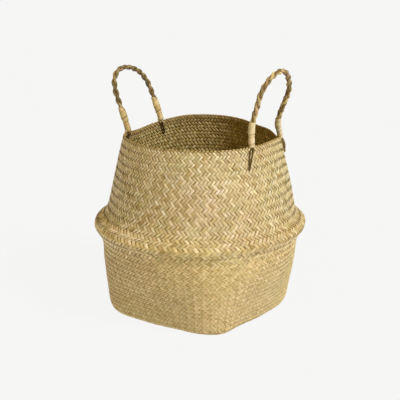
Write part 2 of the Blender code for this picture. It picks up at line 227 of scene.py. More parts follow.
class Bundle:
    """Collects ribbons and cords into one mesh. Each keeps its own tone, and the place along it and across it."""

    def __init__(self):
        self.v, self.f, self.fibre, self.tone, self.uv, self.blocks = [], [], [], [], [], []
        self.count = 0

    def add(self, rings, half, tone, along, across, seed, edge, caps=True):
        """rings: (n, m, c, 3) points, c round each ring. tone: (n, m, 3) or (n, m, c, 3). along: (n, m). across, edge: (n, m, c)."""
        n, m, c, _ = rings.shape
        idx = self.count + np.arange(n * m * c).reshape(n, m, c)
        a, b = idx[:, :-1], idx[:, 1:]
        self.f.append(np.stack([a, b, np.roll(b, -1, 2), np.roll(a, -1, 2)], -1).reshape(-1, 4))
        if caps:
            self.f.append(idx[:, 0, :].reshape(n, c))
            self.f.append(idx[:, -1, ::-1].reshape(n, c))
        self.blocks.append((n, m, c, caps, half))
        self.v.append(rings.reshape(-1, 3))
        fib = np.empty((n, m, c, 3))
        fib[..., 0] = along[:, :, None]
        fib[..., 1] = across
        fib[..., 2] = seed[:, None, None]
        self.fibre.append(fib.reshape(-1, 3))
        t = np.empty((n, m, c, 4))
        t[..., :3] = tone[:, :, None, :] if tone.ndim == 3 else tone
        t[..., 3] = edge
        self.tone.append(t.reshape(-1, 4))
        self.count += n * m * c

    def ribbons(self, centre, side, normal, half_w, half_t, tone, along, seed, caps=True, cup=0.0, gap_shade_share=None, inner=None):
        """Flat strips: centre, side and normal are (n, m, 3), half_w and half_t are (n, m)."""
        xi, eta = SECTION[:, 0], SECTION[:, 1]
        rings = (centre[:, :, None, :] + side[:, :, None, :] * (half_w[:, :, None, None] * xi[None, None, :, None])
                 + normal[:, :, None, :] * (half_t[:, :, None, None] * (eta - cup * xi ** 2)[None, None, :, None]))
        across = half_w[:, :, None] * xi[None, None, :]
        # edge: nearness to the strip's edge, scaled by the share of painted gap shade
        edge = np.abs(xi)[None, None, :] * (np.ones_like(half_w) if gap_shade_share is None else gap_shade_share)[:, :, None]
        dull = np.clip(tone / GOLD, 0.3, 1.6)[:, :, None, :] ** DULL[None, None, :, None]     # the inside is more uneven in tone
        # painted shade on the inner faces, deeper where the blades dive
        if inner is not None:
            dull = dull * np.where(np.arange(6) > 3, inner[:, None], 1.0)[None, :, :, None]
        # the inner faces take the painted shade of the basket's inside
        self.add(rings, half_w, tone[:, :, None, :] * INNER_FACE_SHADE[None, None] * dull, along, across, seed, edge, caps)

    def mesh(self, name, material, ratio=5.5):
        v = np.vstack(self.v)
        me = bpy.data.meshes.new(name)
        sizes = np.concatenate([np.full(len(f), f.shape[1]) for f in self.f])
        flat = np.concatenate([f.reshape(-1) for f in self.f])
        me.vertices.add(len(v))
        me.vertices.foreach_set("co", v.astype(np.float32).ravel())
        me.loops.add(len(flat))
        me.loops.foreach_set("vertex_index", flat.astype(np.int32))
        me.polygons.add(len(sizes))
        me.polygons.foreach_set("loop_start", np.concatenate([[0], np.cumsum(sizes)[:-1]]).astype(np.int32))
        me.polygons.foreach_set("loop_total", sizes.astype(np.int32))
        me.update(calc_edges=True)
        me.attributes.new("fibre", "FLOAT_VECTOR", "POINT").data.foreach_set(
            "vector", np.vstack(self.fibre).astype(np.float32).ravel())
        me.attributes.new("tone", "FLOAT_COLOR", "POINT").data.foreach_set(
            "color", np.vstack(self.tone).astype(np.float32).ravel())
        layer = me.uv_layers.new(name="OFBake")
        layer.data.foreach_set("uv", self.unwrap(ratio).astype(np.float32).ravel())
        me.shade_smooth()
        me.materials.append(material)
        ob = bpy.data.objects.new(name, me)
        bpy.context.scene.collection.objects.link(ob)
        return ob

    def unwrap(self, ratio):
        """Each strip gets a rectangle of its own on the map, in rows and columns, with a corner left for its ends."""
        total = sum(b[0] for b in self.blocks)
        cols = max(1, round(math.sqrt(total / ratio)))
        rows = math.ceil(total / cols)
        out, k = [], 0
        for n, m, c, caps, _ in self.blocks:
            i = k + np.arange(n)
            x0, y0 = (i % cols) / cols, (i // cols) / rows
            u = x0[:, None] + (0.03 + 0.93 * np.arange(m) / (m - 1))[None, :] / cols
            w = y0[:, None] + (0.07 + 0.86 * np.arange(c + 1) / c)[None, :] / rows
            U = np.broadcast_to(u[:, :, None], (n, m, c + 1))
            W = np.broadcast_to(w[:, None, :], (n, m, c + 1))
            P = np.stack([U, W], -1)
            out.append(np.stack([P[:, :-1, :-1], P[:, 1:, :-1], P[:, 1:, 1:], P[:, :-1, 1:]], -2).reshape(-1, 2))
            if caps:
                a = PI2 * np.arange(c) / c
                disc = np.stack([np.cos(a) * 0.008 / cols, np.sin(a) * 0.3 / rows], -1)
                for x in (0.014, 0.983):
                    spot = np.stack([x0 + x / cols, y0 + 0.5 / rows], -1)
                    d = disc if x < 0.5 else disc[::-1]
                    out.append((spot[:, None, :] + d[None]).reshape(-1, 2))
            k += n
        return np.vstack(out)


# ------------------------------------------------------------------ the colours of the strips
GOLD = np.array((0.662, 0.514, 0.268))


def blade():
    """The colour of one blade: near enough the same gold, now and then greenish, pinkish, pale or brown."""
    kind = RNG.random()
    hue = RNG.normal(0, 1)
    c = GOLD * (1 + RNG.normal(0, 0.08)) * np.array((1 + 0.010 * hue, 1.0, 1 - 0.045 * hue))
    for share, shift in ((0.05, (0.95, 1.00, 0.90)), (0.12, (1.00, 0.950, 0.99)), (0.19, (1.06, 1.08, 1.16)), (0.23, (0.84, 0.79, 0.70))):
        if kind < share:
            return c * shift
    return c


def strip_tones(n, m, per_row):
    """Tone along each strip: blades a hand or two long, spliced, each of its own colour, with soft drifts."""
    out = np.empty((n, m, 3))
    for i in range(n):
        at = 0
        while at < m:
            run = int(RNG.integers(5, 44) * per_row)
            out[i, at:at + run] = blade()
            at += run
    light = drift(n, m, 0.060, 1.8 * per_row) + drift(n, m, 0.05, 12 * per_row)
    warm = drift(n, m, 0.018, 9 * per_row)
    out *= (1 + light)[..., None]
    out[..., 0] *= 1 + warm
    out[..., 2] *= 1 - 1.8 * warm
    return np.clip(out, 0.02, GOLD * (1.17, 1.20, 1.34))


class Field:
    """Smooth random values over the wall, in cells of about the given size."""

    def __init__(self, cell):
        self.cell, self.n, self.m = cell, int(PI2 * 0.15 / cell), int(0.34 / cell) + 3
        self.v = RNG.normal(0, 1, (self.n, self.m))

    def at(self, P):
        x = (np.arctan2(P[..., 1], P[..., 0]) / PI2 + 1) * self.n
        y = np.clip(P[..., 2] / self.cell + 0.5, 0, self.m - 1.01)
        i, j = np.floor(x).astype(int), np.floor(y).astype(int)
        t, w = x - i, y - j
        t, w = t * t * (3 - 2 * t), w * w * (3 - 2 * w)
        v = self.v
        a = v[i % self.n, j] * (1 - t) + v[(i + 1) % self.n, j] * t
        b = v[i % self.n, j + 1] * (1 - t) + v[(i + 1) % self.n, j + 1] * t
        return a * (1 - w) + b * w


# GAP_SHADE_PATCHES: patches where the painted gap shade is fainter or stronger
GAP_SHADE_PATCHES, SUNNED, RUDDY, LOOSE = Field(0.017), Field(0.011), Field(0.013), Field(0.012)


def patches(P):
    """Slow changes of colour over the whole wall, where the blades came from other bunches; yellower round azimuth 33
    degrees; and painted shade round azimuth -150 degrees, browner there and darker low down.
    """
    az, z = np.arctan2(P[..., 1], P[..., 0]), P[..., 2]
    sunned, ruddy = 1 + 0.022 * SUNNED.at(P), 0.009 * RUDDY.at(P)
    a = np.sin(az * 2 + 40 * z + 1.1) * 0.5 + np.sin(az * 3 - 26 * z + 4.0) * 0.5
    b = np.sin(az * 2 - 18 * z + 0.4) * 0.5 + np.sin(az * 5 + 34 * z + 2.2) * 0.5
    c = np.sin(az * 4 + 22 * z + 5.2) * 0.5 + np.sin(az + 60 * z) * 0.5
    tint = np.stack([1 + 0.025 * c + 0.010 * a + ruddy, 1 + 0.025 * c - 0.014 * a - ruddy, 1 + 0.025 * c - 0.045 * b - ruddy], -1)
    yellow = np.exp(-(((az - math.radians(33) + math.pi) % PI2 - math.pi) / math.radians(34)) ** 2)
    # painted shade round azimuth -150 degrees: less green and blue there, most in the lower wall
    tan = np.exp(-(((az + math.radians(150) + math.pi) % PI2 - math.pi) / math.radians(42)) ** 2) * (1.5 - 0.5 * smooth(0.10, 0.15, z))
    tint = tint * np.stack([1 + 0 * az, 1 + 0.020 * yellow - 0.018 * tan, 1 - 0.10 * yellow - 0.04 * tan], -1)
    # painted shade: darker round azimuth -150 degrees in the lower wall
    shaded = 1 - 0.05 * tan * (1 - smooth(0.10, 0.15, z))
    return tint * (sunned * shaded)[..., None]


# ------------------------------------------------------------------ the wall's strips, from the base to the rim
CUT = 0.36                  # strips are sampled at each crossing and this far before and after it


def wall_samples(k_end):
    ks = [0.0, CUT]
    for k in range(1, k_end + 1):
        ks += [k - CUT, k, k + CUT]
    return np.array(ks)


def lie(ks, sign):
    """How far out a strip lies at each place, in crests, and how wide it is there: it arches over, then dives narrowed.
    Also the painted shade at its dives, outside and inside.
    """
    near = np.round(ks).astype(int)
    frac = ks - near
    here = sign * state(near)
    after, before = sign * state(near + 1) == here, sign * state(near - 1) == here
    on = np.where(frac > 0, after, before)
    centre = np.abs(frac) < 0.05
    rise = np.where(centre, np.where(after | before, 1.0, 1.10), np.where(on, 1.30, 0.42))
    wide = np.where(here > 0, np.where(centre, 1.02, np.where(on, 1.02, 0.96)), np.where(on | centre, 1.08, 1.02))
    shade = np.where(centre, 1.02, np.where(on, 1.03, 0.97))            # painted shade where a blade dives, painted light along its arch
    inner = np.where(centre | on, 1.06, 0.60)                           # inside, the dives get deeper painted shade
    return here * rise, wide, shade, inner


def wall_strips(sign, k_end):
    """All the strips of one direction: sign +1 climbs to the right seen from outside, -1 to the left."""
    ks = wall_samples(k_end)
    m = len(ks)
    u0 = np.arange(N) + 0.5
    jig = drift(N, m, 0.045, 8) * np.minimum(1, np.arange(m) / 12)[None, :]
    k2 = np.broadcast_to(ks, (N, m))
    u = u0[:, None] + sign * k2 / 2 + jig
    s = np.broadcast_to(arc_of(ks), (N, m))
    P = surface(u, s)
    eu, es = 0.02, 0.0002
    Su = (surface(u + eu, s) - surface(u - eu, s)) / (2 * eu)
    Ss = (surface(u, s + es) - surface(u, s - es)) / (2 * es)
    nrm = unit(np.cross(Su, Ss))
    dk = 0.05
    T = unit(surface(u + sign * dk / 2, arc_of(k2 + dk)) - surface(u - sign * dk / 2, arc_of(k2 - dk)))
    side = unit(np.cross(nrm, T))
    width = np.linalg.norm(np.cross(Su, T), axis=-1)
    rise, wide, shade, inner = lie(ks, sign)
    off = CREST * rise[None, :] * (1 + drift(N, m, 0.10, 5)) + drift(N, m, 0.00004, 4)
    C = P + nrm * off[..., None]
    own = RNG.uniform(0.90, 1.07, N)
    # the painted shade at the dives goes into the strips' tone here, with patches() and its own painted shade
    tones = strip_tones(N, m, 3) * patches(P) * shade[None, :, None]
    low = 1 - smooth(0.126, 0.142, P[..., 2])
    even = 0.42 * low[..., None]                        # the lower wall's blades are more alike
    tones = tones * (1 - even) + tones.mean((0, 1)) * even
    if sign < 0:                                        # every other strip of this direction is narrower and darker
        own = own * np.where(np.arange(N) % 2 == 1, 0.92, 1.02)
        tones = tones * np.where(np.arange(N) % 2 == 1, 0.93, 1.03)[:, None, None]
    half_w = FILL * 0.5 * width * wide[None, :] * np.clip(own[:, None] * (1 + drift(N, m, 0.05, 8)), 0.80, 1.10)
    half_t = np.full((N, m), STRIP_T / 2)
    step = np.linalg.norm(np.diff(C, axis=1), axis=-1)
    along = np.concatenate([np.zeros((N, 1)), np.cumsum(step, axis=1)], axis=1)
    seed = RNG.uniform(0, 500, N)
    gap_shade_share = 1.0 - np.clip(0.06 + 0.04 * low + (0.06 - 0.03 * low) * GAP_SHADE_PATCHES.at(P) + drift(N, m, 0.05, 5), 0, 0.25)   # how much painted shade the gaps between strips get: less low down and in patches, where the blades are pressed close
    return dict(ks=ks, C=C, side=side, nrm=nrm, half_w=half_w, half_t=half_t, tone=tones, along=along, seed=seed, gap_shade_share=gap_shade_share, inner=inner)


WALL = {+1: wall_strips(+1, K_RIM), -1: wall_strips(-1, K_RIM)}


# dark sheets of painted shade in the wall's middle, seen through the gaps between strips; lighter in the lower wall
LOW_GAP_SHADE_TONE, GAP_SHADE_TONE = np.array((0.26, 0.175, 0.070)), np.array((0.20, 0.130, 0.048))


def gap_shade_sheet(bundle, k0, k1):
    """A thin dark sheet in the middle of the wall, and of the base when k0 is 0: painted shade, which shows where the
    strips leave a gap.
    """
    turn = 84
    u = np.arange(turn + 1) * (N / turn)
    P, out = [], []
    if k0 == 0:
        for t in (0.01, 0.35, 0.70):
            P.append(surface(u, np.zeros(turn + 1)) * np.array((t, t, 1.0)))
            out.append(np.broadcast_to(np.array((0.0, 0.0, -1.0)), (turn + 1, 3)))
    for k in np.linspace(k0 + CUT if k0 else 0.0, k1 + CUT, max(3, (k1 - k0) // 2 + 1)):
        v = np.full(turn + 1, float(arc_of(k)))
        P.append(surface(u, v))
        out.append(unit(np.cross(surface(u + 0.02, v) - surface(u - 0.02, v), surface(u, v + 0.0002) - surface(u, v - 0.0002))))
    P, out = np.stack(P, 1), np.stack(out, 1) * 0.00005
    rings = np.concatenate([P + out, (P - out)[:, ::-1]], 1)[None]
    c = rings.shape[2]
    along = (np.arange(turn + 1) * 0.011)[None]
    across = np.broadcast_to(np.arange(c) * 0.004, (1, turn + 1, c))
    bundle.add(rings, None, np.broadcast_to(LOW_GAP_SHADE_TONE if k0 < K_CREASE else GAP_SHADE_TONE, (1, turn + 1, 3)), along, across, RNG.uniform(0, 500, 1),
               np.zeros((1, turn + 1, c)), caps=False)


def wall_part(bundle, k0, k1):
    """The strips of both directions between two cuts, each just past a row, or 0 at the base's outline."""
    gap_shade_sheet(bundle, k0, k1)
    for sign in (1, -1):
        w = WALL[sign]
        lo = 0 if k0 == 0 else int(np.argmin(np.abs(w["ks"] - (k0 + CUT))))
        hi = int(np.argmin(np.abs(w["ks"] - (k1 + CUT)))) + 1
        sl = slice(lo, hi)
        bundle.ribbons(w["C"][:, sl], w["side"][:, sl], w["nrm"][:, sl], w["half_w"][:, sl], w["half_t"][:, sl],
                       w["tone"][:, sl], w["along"][:, sl], w["seed"], cup=0.30, gap_shade_share=w["gap_shade_share"][:, sl], inner=w["inner"][sl])


# ------------------------------------------------------------------ the base mat
def base_point(p, q):
    """A place on the flat of the base from its lattice: the strips run along its diagonals and turn up at its outline."""
    h = np.maximum(np.maximum(np.abs(p), np.abs(q)), 1e-9)
    north, south, west = q >= h - 1e-9, q <= -h + 1e-9, p <= -h + 1e-9
    f = np.where(north, (h - p) / (2 * h), np.where(west, 1 + (h - q) / (2 * h),
                 np.where(south, 2 + (p + h) / (2 * h), 3 + (q + h) / (2 * h))))
    az = even_azimuth(f * SIDE)
    rr = h / SIDE * BASE_R * squareness(az, BASE_Z)
    x1, y1 = rr * np.cos(az), rr * np.sin(az)
    flat = BASE_R * 0.95 / SIDE
    x0, y0 = p * flat, q * flat
    w = (h / SIDE) ** 2.5
    return np.stack([x0 + w * (x1 - x0), y0 + w * (y1 - y0), np.full(np.shape(p), BASE_Z)], -1)


def base_strips(bundle):
    for family in (0, 1):
        for c in range(-(2 * SIDE - 1), 2 * SIDE, 2):
            last = 2 * SIDE - abs(c)
            last -= 1 - (last % 2)
            cross = np.arange(-last, last + 1, 2)
            e, sg = [], []
            for x in cross:
                k = (abs(c) + abs(x)) // 2 - SIDE
                lies = int(state(k)) * (1 if c * x < 0 else -1)
                if family:
                    lies = -lies
                ends = {-last: [x, x + 0.6], last: [x - 0.6, x]}.get(x, [x - 0.6, x + 0.6]) if last > 1 or x else [x]
                for v in ends:
                    e.append(v)
                    sg.append(lies)
            e, sg = np.array(e, float), np.array(sg, float)

            def place(v):
                if family == 0:
                    return base_point((c + v) / 2, (c - v) / 2)
                return base_point((v + c) / 2, (v - c) / 2)

            def beside(v, d):
                if family == 0:
                    return base_point((c + d + v) / 2, (c + d - v) / 2)
                return base_point((v + c + d) / 2, (v - c - d) / 2)

            P = place(e)
            T = unit(place(e + 0.2) - place(e - 0.2))
            across = (beside(e, 0.4) - beside(e, -0.4)) / 0.4
            nrm = np.zeros_like(P)
            nrm[:, 2] = -1
            side = unit(np.cross(nrm, T))
            width = np.abs((across * side).sum(-1))
            C = P + nrm * (CREST * sg * 0.95)[:, None]
            m = len(e)
            half_w = FILL * 0.5 * width * (1 + drift(1, m, 0.02, 5)[0])
            step = np.linalg.norm(np.diff(C, axis=0), axis=-1)
            along = np.concatenate([[0], np.cumsum(step)])
            bundle.ribbons(C[None], side[None], nrm[None], half_w[None], np.full((1, m), STRIP_T / 2),
                           strip_tones(1, m, 2), along[None], RNG.uniform(0, 500, 1))


# ------------------------------------------------------------------ materials
def nodes_of(name):
    mat = bpy.data.materials.new(name)
    mat.use_nodes = True
    nt = mat.node_tree
    nt.nodes.clear()
    return mat, nt


def link(nt, a, b):
    nt.links.new(a, b)


def math_node(nt, op, a, b=None, clamp=False):
    n = nt.nodes.new("ShaderNodeMath")
    n.operation = op
    n.use_clamp = clamp
    for i, v in enumerate((a, b)):
        if v is None:
            continue
        if hasattr(v, "is_linked"):
            nt.links.new(v, n.inputs[i])
        else:
            n.inputs[i].default_value = v
    return n.outputs[0]


def straw_material(name, tint=(1, 1, 1), rough=0.46, streak=0.18, speck=0.35, fibre_scale=(18, 900), spec=0.36,
                   edge_shade=0.58, edge_from=0.66, cream=0.95, bump=0.25, sheen=0.03):
    """Dried blade: fine streaks along its length, brown flecks, edges darkened with painted shade, a waxy gloss that
    breaks up.
    """
    mat, nt = nodes_of(name)
    new = nt.nodes.new
    out = new("ShaderNodeOutputMaterial")
    bsdf = new("ShaderNodeBsdfPrincipled")
    link(nt, bsdf.outputs[0], out.inputs[0])
    tone = new("ShaderNodeAttribute")
    tone.attribute_name = "tone"
    fib = new("ShaderNodeAttribute")
    fib.attribute_name = "fibre"
    sep = new("ShaderNodeSeparateXYZ")
    link(nt, fib.outputs["Vector"], sep.inputs[0])

    def noise(sx, sy, detail=3.0, rough_=0.6, shift=0.0):
        comb = new("ShaderNodeCombineXYZ")
        link(nt, math_node(nt, "MULTIPLY", sep.outputs[0], sx), comb.inputs[0])
        link(nt, math_node(nt, "MULTIPLY", sep.outputs[1], sy), comb.inputs[1])
        link(nt, math_node(nt, "ADD", sep.outputs[2], shift), comb.inputs[2])
        tex = new("ShaderNodeTexNoise")
        tex.noise_dimensions = "3D"
        tex.inputs["Scale"].default_value = 1.0
        tex.inputs["Detail"].default_value = detail
        tex.inputs["Roughness"].default_value = rough_
        link(nt, comb.outputs[0], tex.inputs["Vector"])
        return tex.outputs["Fac"]

    fine = noise(fibre_scale[0], fibre_scale[1], 4.0, 0.65)
    fleck = noise(140, 330, 3.0, 0.6, 31.0)
    broad = noise(22, 60, 2.0, 0.5, 77.0)

    # streaks and broad changes lighten and darken the tone
    k1 = math_node(nt, "MULTIPLY", math_node(nt, "SUBTRACT", fine, 0.5), streak * 4)
    k2 = math_node(nt, "MULTIPLY", math_node(nt, "SUBTRACT", broad, 0.5), 0.5)
    k = math_node(nt, "ADD", math_node(nt, "ADD", k1, k2), 1.0)
    # painted shade along each strip's edges, for the shadow in the gaps between strips
    edge = new("ShaderNodeMapRange")
    edge.interpolation_type = "SMOOTHSTEP"
    edge.inputs["From Min"].default_value = edge_from
    edge.inputs["From Max"].default_value = 1.0
    edge.inputs["To Min"].default_value = 1.0
    edge.inputs["To Max"].default_value = 1.0 - edge_shade
    link(nt, tone.outputs["Alpha"], edge.inputs["Value"])
    k = math_node(nt, "MULTIPLY", k, edge.outputs[0])
    scaled = new("ShaderNodeVectorMath")
    scaled.operation = "SCALE"
    link(nt, tone.outputs["Vector"], scaled.inputs[0])
    link(nt, k, scaled.inputs["Scale"])
    tinted = new("ShaderNodeVectorMath")
    tinted.operation = "MULTIPLY"
    link(nt, scaled.outputs[0], tinted.inputs[0])
    tinted.inputs[1].default_value = tint
    # what is darker is browner, what is lighter is nearer to cream
    parts = new("ShaderNodeSeparateColor")
    link(nt, tinted.outputs[0], parts.inputs[0])
    level = math_node(nt, "MAXIMUM", math_node(nt, "DIVIDE", parts.outputs[0], float(GOLD[0] * tint[0])), 0.05)
    shaded = new("ShaderNodeCombineColor")
    link(nt, parts.outputs[0], shaded.inputs[0])
    link(nt, math_node(nt, "MULTIPLY", parts.outputs[1], math_node(nt, "POWER", level, 0.20)), shaded.inputs[1])
    link(nt, math_node(nt, "MULTIPLY", parts.outputs[2], math_node(nt, "POWER", level, cream)), shaded.inputs[2])
    # brown flecks
    ramp = new("ShaderNodeMapRange")
    ramp.interpolation_type = "SMOOTHSTEP"
    ramp.inputs["From Min"].default_value = 0.60
    ramp.inputs["From Max"].default_value = 0.74
    ramp.inputs["To Min"].default_value = 0.0
    ramp.inputs["To Max"].default_value = speck
    link(nt, fleck, ramp.inputs["Value"])
    mix = new("ShaderNodeMix")
    mix.data_type = "RGBA"
    link(nt, ramp.outputs[0], mix.inputs["Factor"])
    link(nt, shaded.outputs[0], mix.inputs["A"])
    mix.inputs["B"].default_value = (0.20, 0.115, 0.040, 1)
    link(nt, mix.outputs["Result"], bsdf.inputs["Base Color"])

    rr = math_node(nt, "ADD", math_node(nt, "MULTIPLY", fine, 0.26), rough - 0.13, clamp=True)
    link(nt, rr, bsdf.inputs["Roughness"])
    bsdf.inputs["Specular IOR Level"].default_value = spec
    bsdf.inputs["Sheen Weight"].default_value = sheen
    bsdf.inputs["Sheen Roughness"].default_value = 0.5
    bmp = new("ShaderNodeBump")
    bmp.inputs["Strength"].default_value = bump
    bmp.inputs["Distance"].default_value = 0.0002
    link(nt, fine, bmp.inputs["Height"])
    link(nt, bmp.outputs[0], bsdf.inputs["Normal"])
    return mat


STRAW = straw_material("straw_plait", tint=(0.928, 0.94, 0.965))
# the lower wall's, the base's and the belly underside's straw: lighter and yellower than the upper wall's, painted
# light against the shade and the floor's white glow down there
STRAW_LOW_PAINTED_LIGHT = straw_material("straw_plait_lower_painted_light", tint=(1.055, 1.030, 0.90), rough=0.50, edge_shade=0.54)
STRAW_BASE_PAINTED_LIGHT = straw_material("straw_plait_base_painted_light", tint=(1.05, 1.02, 0.84), rough=0.54, edge_shade=0.56)
STRAW_UNDER_PAINTED_LIGHT = straw_material("straw_plait_underside_painted_light", tint=(1.05, 1.02, 0.86), edge_shade=0.50)
STRAW_RIM = straw_material("straw_rim", tint=(1.06, 1.04, 1.03), rough=0.5, speck=0.35, edge_shade=0.96, edge_from=0.55)
ROPE = straw_material("rope_blades", tint=(0.86, 0.80, 0.62), rough=0.56, streak=0.30, speck=0.5, fibre_scale=(40, 1500), edge_shade=0.5, edge_from=0.45, cream=0.35, bump=0.5)
WRAP = straw_material("collar_straw", tint=(0.90, 0.85, 0.80), rough=0.50, streak=0.22, speck=0.60, fibre_scale=(30, 1200), edge_shade=0.02, edge_from=0.75, cream=0.7, bump=0.4)
CORD = straw_material("tie_cord_dark", tint=(0.14, 0.105, 0.060), rough=0.85, streak=0.3, speck=0.2, fibre_scale=(60, 2200), edge_shade=0.4, edge_from=0.6, cream=0.3, bump=0.5, spec=0.0, sheen=0.0)

# ------------------------------------------------------------------ base and walls
K_BASE = row_at(0.0135) - 1
K_BELLY = row_at(0.130)
K_LOW = K_BASE + (K_BELLY - K_BASE) // 3
K_MID = K_BASE + 2 * (K_BELLY - K_BASE) // 3
K_EDGE = row_at(0.1534)
K_CREASE = row_at(CREASE_Z)
K_BAND = row_at(BAND_TOP_Z)

base = Bundle()
base_strips(base)
wall_part(base, 0, K_BASE)
ob = base.mesh("base_weave", STRAW_BASE_PAINTED_LIGHT)
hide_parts("woven_base")
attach(ob, "standing_basket")

for name, k0, k1, mat, node, slot in (
        ("lower_weave_foot", K_BASE, K_LOW, STRAW_LOW_PAINTED_LIGHT, "lower_wall", "seagrass_lower"),
        ("lower_weave_middle", K_LOW, K_MID, STRAW_LOW_PAINTED_LIGHT, "lower_wall", "seagrass_lower"),
        ("lower_weave_top", K_MID, K_BELLY, STRAW_LOW_PAINTED_LIGHT, "lower_wall", "seagrass_lower"),
        ("belly_underside_weave", K_BELLY, K_EDGE, STRAW_UNDER_PAINTED_LIGHT, "belly_underside", "seagrass_lower"),
        ("belly_shoulder_weave", K_EDGE, K_CREASE, STRAW, "belly_shoulder", "seagrass")):
    b = Bundle()
    wall_part(b, k0, k1)
    ob = b.mesh(name, mat)
    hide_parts(node)
    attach(ob, "standing_basket")

b = Bundle()
wall_part(b, K_CREASE, K_BAND)
ob = b.mesh("fold_weave", STRAW)
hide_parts("fold_band_lower", "fold_band_middle", "fold_band_upper")
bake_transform(ob)

K_UPPER = (K_BAND + K_RIM) // 2
for name, k0, k1 in (("upper_weave_low", K_BAND, K_UPPER), ("upper_weave_high", K_UPPER, K_RIM - 1)):
    b = Bundle()
    wall_part(b, k0, k1)
    ob = b.mesh(name, STRAW)
    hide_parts("upper_wall")
    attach(ob, "mouth")


# ------------------------------------------------------------------ the rim: every strip folds over the edge and is tucked back down inside
def rim_strips(bundle, sign, high, tuck_rows):
    """Strips of one direction over the edge and back down inside, each along a strip of the other direction."""
    last = K_RIM - tuck_rows
    while -sign * int(state(last)) < 0:                # the tail ends where a strip of its own direction covers it
        last -= 1
    path = [("up", K_RIM - 1 + CUT), ("up", K_RIM - 0.30), ("top", 0.0), ("top", 0.33), ("top", 0.67), ("top", 1.0),
            ("down", K_RIM - 0.32)]
    for kk in range(K_RIM - 1, last - 1, -1):
        path += [("down", kk + CUT), ("down", float(kk)), ("down", kk - CUT)]
    path = path[:-1]
    m = len(path)
    u0 = np.arange(N) + 0.5
    w = WALL[sign]
    C = np.empty((N, m, 3))
    nr = np.empty((N, m, 3))
    side = np.empty((N, m, 3))
    hw = np.empty((N, m))
    outer = 0.00034 + 0.00040 * high
    inner = -0.00040 - 0.00040 * high
    eu, es, dk = 0.02, 0.0002, 0.05
    for j, (kind, v) in enumerate(path):
        k = K_RIM if kind == "top" else v
        run = 2 * K_RIM - k if kind == "down" else k
        u = u0 + sign * run / 2
        s = np.full(N, float(arc_of(k)))
        P = surface(u, s)
        Su = (surface(u + eu, s) - surface(u - eu, s)) / (2 * eu)
        Ss = (surface(u, s + es) - surface(u, s - es)) / (2 * es)
        n0 = unit(np.cross(Su, Ss))
        up = unit(Ss)
        level = unit(Su)
        slant = -sign if kind == "down" else sign
        T = unit(surface(u + slant * dk / 2, arc_of(k + dk)) - surface(u - slant * dk / 2, arc_of(k - dk)))
        across = unit(np.cross(n0, T))
        width = np.linalg.norm(np.cross(Su, T), axis=-1)
        if kind == "up" and j == 0:
            C[:, j], nr[:, j], side[:, j], hw[:, j] = w["C"][:, -4], n0, across, w["half_w"][:, -4]
            continue
        if kind == "up":
            C[:, j], nr[:, j] = P + n0 * outer, n0
        elif kind == "top":
            a = math.pi * v
            mid, rad = (outer + inner) / 2, (outer - inner) / 2
            C[:, j] = P + n0 * (mid + rad * math.cos(a)) + up * (rad * 0.9 * math.sin(a) + 0.0003 * high)
            nr[:, j] = unit(n0 * math.cos(a) + up * math.sin(a))
        else:
            rise = lie(np.array([k]), -sign)[0]
            near = smooth(K_RIM - 1.0, K_RIM - 0.4, k)
            C[:, j] = P + n0 * (near * inner + (1 - near) * (CREST * float(rise[0]) - 0.00043))
            nr[:, j] = -n0
        if kind == "down" and k < K_RIM - 0.9:
            side[:, j], hw[:, j] = across, FILL * 0.47 * width
        else:
            side[:, j], hw[:, j] = level, FILL * 0.46 * np.linalg.norm(Su, axis=-1)
    hw[:, 1:] *= 0.97 * (1 + drift(N, m - 1, 0.02, 3))
    T = np.gradient(C, axis=1)
    want = np.cross(nr, unit(T))
    flip = np.sign((side * want).sum(-1, keepdims=True))
    side = side * np.where(flip == 0, 1, flip)
    step = np.linalg.norm(np.diff(C, axis=1), axis=-1)
    along = w["along"][:, -4][:, None] + np.concatenate([np.zeros((N, 1)), np.cumsum(step, axis=1)], axis=1)
    tones = np.repeat(w["tone"][:, -4:-3, :], m, axis=1) * (1 + drift(N, m, 0.03, 5))[..., None]
    bundle.ribbons(C, side, nr, hw, np.full((N, m), STRIP_T / 2 * 0.9), tones, along, w["seed"], cup=0.2)


rim = Bundle()
rim_strips(rim, -1, 0, 4)
rim_strips(rim, +1, 1, 5)
ob = rim.mesh("rim_weave", STRAW_RIM)
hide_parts("rim_border")
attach(ob, "mouth")

# ------------------------------------------------------------------ handles
COLLAR_L, FOOT_LIFT, FOOT_R = 0.034, 0.0068, 0.1268
COLLAR_R = 0.0051           # a wound collar, without its binding
BRAID_A, BRAID_B, BRAID_PITCH, STRAND_GAP = 0.0018, 0.0018, 0.046, 0.0011
STRAND_R = 0.0027
LEFT_AZ, RIGHT_AZ = 178.4, 6.4
# each bow, from foot to foot: sideways, height above the feet, outward lean
LEFT_BOW = (
    (-0.0455, 0.0000, 0.0000), (-0.0462, 0.0120, 0.0055), (-0.0466, 0.0259, 0.0115), (-0.0456, 0.0438, 0.0188),
    (-0.0388, 0.0625, 0.0234), (-0.0242, 0.0785, 0.0254), (-0.0037, 0.0892, 0.0260), (0.0170, 0.0936, 0.0262),
    (0.0351, 0.0911, 0.0259), (0.0453, 0.0783, 0.0257), (0.0477, 0.0594, 0.0217), (0.0478, 0.0375, 0.0131),
    (0.0468, 0.0173, 0.0052), (0.0455, 0.0000, 0.0000),
)
RIGHT_BOW = (
    (-0.0564, 0.0000, 0.0000), (-0.0576, 0.0119, 0.0000), (-0.0579, 0.0307, 0.0012), (-0.0563, 0.0558, 0.0071),
    (-0.0523, 0.0818, 0.0133), (-0.0394, 0.1013, 0.0211), (-0.0210, 0.1102, 0.0267), (-0.0017, 0.1087, 0.0300),
    (0.0139, 0.0975, 0.0294), (0.0264, 0.0798, 0.0265), (0.0340, 0.0611, 0.0183), (0.0392, 0.0396, 0.0078),
    (0.0458, 0.0198, 0.0008), (0.0564, 0.0000, 0.0000),
)
